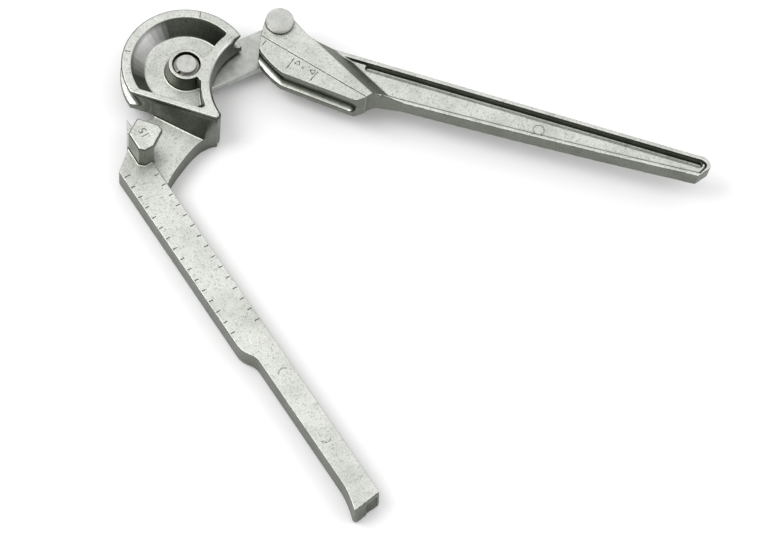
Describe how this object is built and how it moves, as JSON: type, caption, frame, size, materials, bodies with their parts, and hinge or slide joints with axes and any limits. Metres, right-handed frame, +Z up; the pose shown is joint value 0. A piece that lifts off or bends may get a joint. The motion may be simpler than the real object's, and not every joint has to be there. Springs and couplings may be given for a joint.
{
  "type": "manual tube bender",
  "caption": "Two-handled tube bender: a grooved round former with a hook and ruled arm, and a linked handle whose grooved shoe swings round it.",
  "frame": {"origin": "on the bending axis (main pivot) at the level of the fixed handle's underside, which the tool lies on", "axes": "+Z up along the pivot pins; the fixed handle runs along -Y and the round former faces +Y; +X points from the main pivot towards the swinging handle's pin"},
  "size_m": [0.3843, 0.416, 0.0468],
  "materials": {
    "cast_body": "satin die-cast",
    "cast_shoe": "satin die-cast, worn bright in the groove",
    "link_steel": "satin zinc-plated plate",
    "pin_steel": "turned, satin",
    "spring_steel": "dark phosphated",
    "screw_steel": "blackened",
    "bush": "sintered bronze"
  },
  "bodies": {
    "fixed": {"fixed_handle": "cast_body", "pivot_bush": "bush"},
    "link": {"link_plate": "link_steel", "pivot_pin": "pin_steel", "pivot_retaining_ring": "spring_steel", "pivot_thrust_washer": "bush", "handle_pin": "pin_steel", "handle_pin_washer": "spring_steel", "handle_thrust_washer": "bush"},
    "handle": {"moving_handle": "cast_body", "handle_bush": "bush", "slide_shoe": "cast_shoe", "shoe_screws": "screw_steel", "shoe_dowels": "pin_steel"}
  },
  "joints": [
    {"name": "link_swing", "type": "hinge", "parent": "fixed", "child": "link", "pos_m": [0, 0, 0.0285], "axis": [0, 0, 1], "range_deg": [0, 180]},
    {"name": "handle_swing", "type": "hinge", "parent": "link", "child": "handle", "pos_m": [0.07977, -0.006, 0.03], "axis": [0, 0, 1], "range_deg": [-18, 110]}
  ]
}
